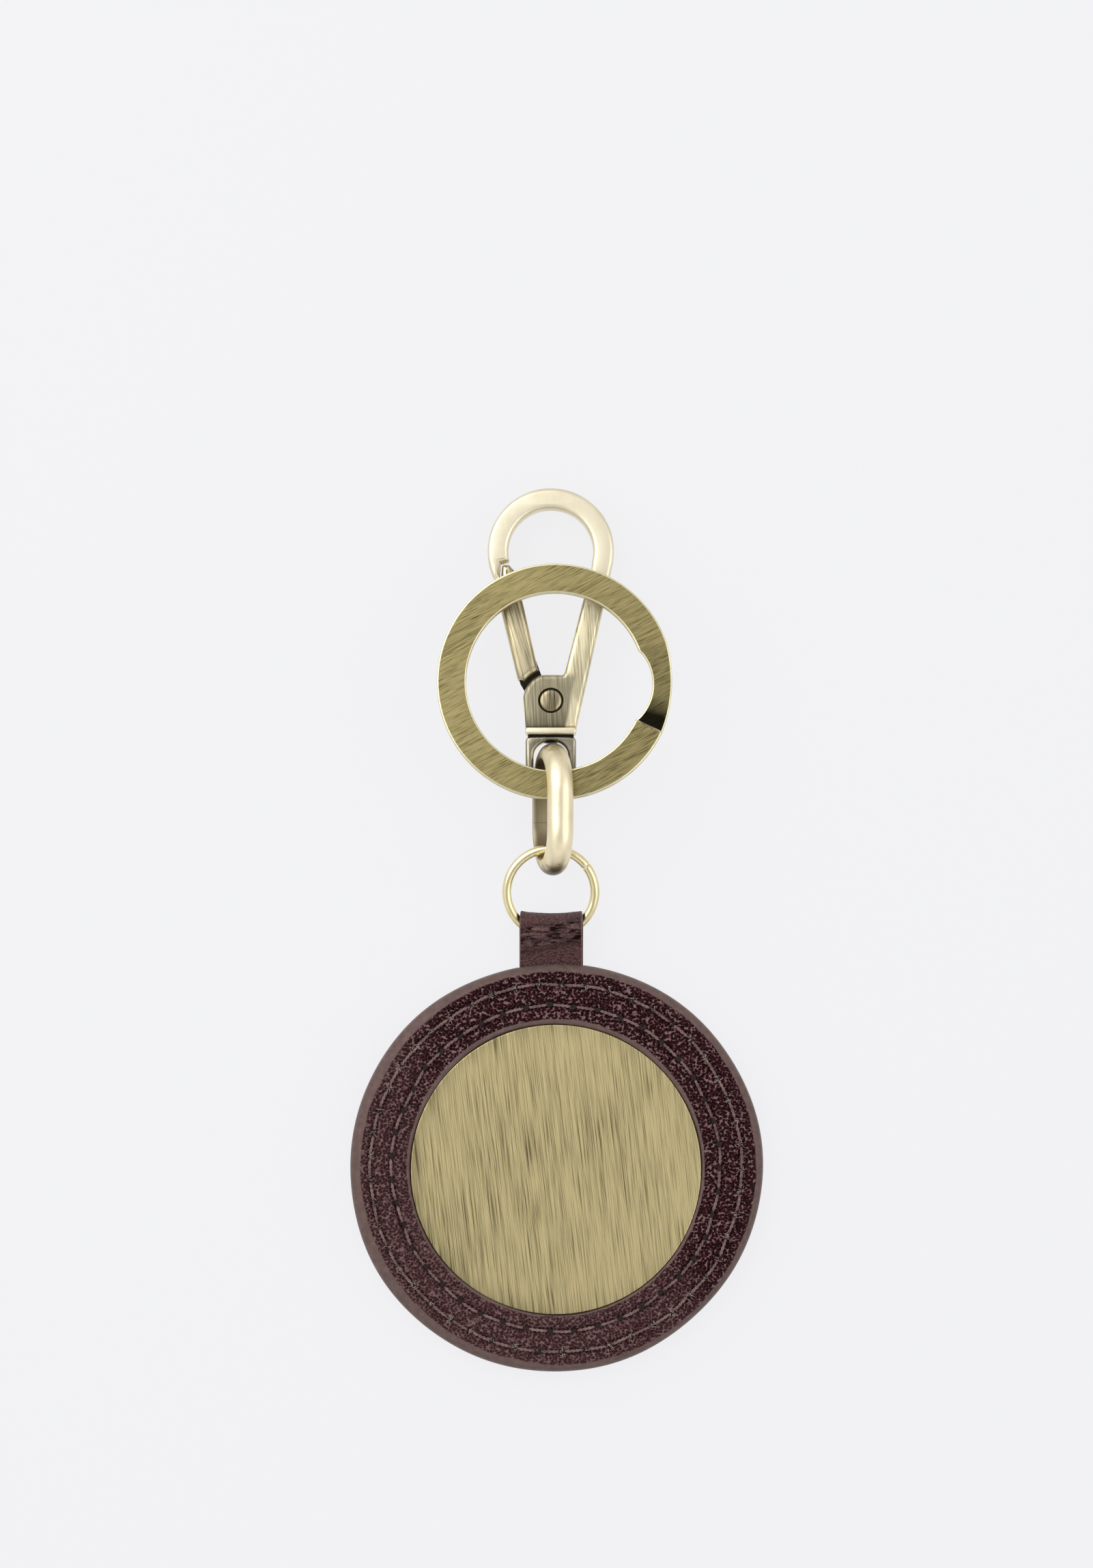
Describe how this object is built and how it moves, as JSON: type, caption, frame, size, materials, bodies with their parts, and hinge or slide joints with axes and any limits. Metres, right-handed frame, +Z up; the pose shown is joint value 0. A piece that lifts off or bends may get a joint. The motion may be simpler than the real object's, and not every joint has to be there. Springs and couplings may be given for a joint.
{
  "type": "keychain",
  "caption": "Keychain lying flat: round stitched leather fob with a metal disc, leather strap, jump ring, oval link, flat split ring and swivel snap hook",
  "frame": {"origin": "centre of the fob's back face, which lies on the table", "axes": "+Y from the fob to the snap hook's head, +Z up out of the fob's front face, +X to the right seen from the front"},
  "size_m": [0.0518, 0.1124, 0.0123],
  "materials": {
    "leather": "pebbled full-grain leather, dark brown with a burgundy tone, satin",
    "board": "pressed stiffener board, matte",
    "antique_brass_brushed": "brushed antique brass, satin",
    "antique_brass_polished": "polished antique brass plating",
    "dark_antique": "dark antique plating, semi-gloss",
    "thread": "waxed thread, satin",
    "spring_steel": "bright spring wire"
  },
  "bodies": {
    "fob": {"fob_back_leather": "leather", "fob_core_board": "board", "fob_front_leather": "leather", "metal_disc": "antique_brass_brushed", "outer_stitching": "thread", "inner_stitching": "thread", "strap_loop": "leather"},
    "jump_ring": {"jump_ring": "antique_brass_polished"},
    "link": {"connector_link": "antique_brass_polished"},
    "key_ring": {"split_key_ring": "antique_brass_brushed"},
    "eye": {"swivel_eye": "dark_antique"},
    "hook": {"hook_body": "antique_brass_brushed", "gate_rivet": "antique_brass_brushed", "gate_spring": "spring_steel"},
    "gate": {"hook_gate": "antique_brass_brushed"}
  },
  "joints": [
    {"name": "ring_swing", "type": "hinge", "parent": "fob", "child": "jump_ring", "pos_m": [-0.00065, 0.03045, 0.0026], "axis": [1, 0, 0], "range_deg": [-100, 100]},
    {"name": "link_swing", "type": "hinge", "parent": "jump_ring", "child": "link", "pos_m": [-0.00065, 0.04055, 0.00485], "axis": [-1, 0, 0], "range_deg": [-60, 60]},
    {"name": "key_ring_swing", "type": "hinge", "parent": "link", "child": "key_ring", "pos_m": [-0.0001, 0.0501, 0.0079], "axis": [1, 0, 0], "range_deg": [0, 30]},
    {"name": "eye_swing", "type": "hinge", "parent": "link", "child": "eye", "pos_m": [-0.0004, 0.0478, 0.0062], "axis": [0.9781, 0, -0.2079], "range_deg": [-70, 0]},
    {"name": "hook_swivel", "type": "hinge", "parent": "eye", "child": "hook", "pos_m": [-0.00065, 0.05928, 0.00382], "axis": [0, 0.9969, -0.0785], "range_deg": [-3, 3]},
    {"name": "gate_pivot", "type": "hinge", "parent": "hook", "child": "gate", "pos_m": [-0.00065, 0.05928, 0.00382], "axis": [0, -0.0785, -0.9969], "range_deg": [0, 24], "stiffness_Nm_per_rad": 0.004, "springref_deg": -20.05}
  ]
}
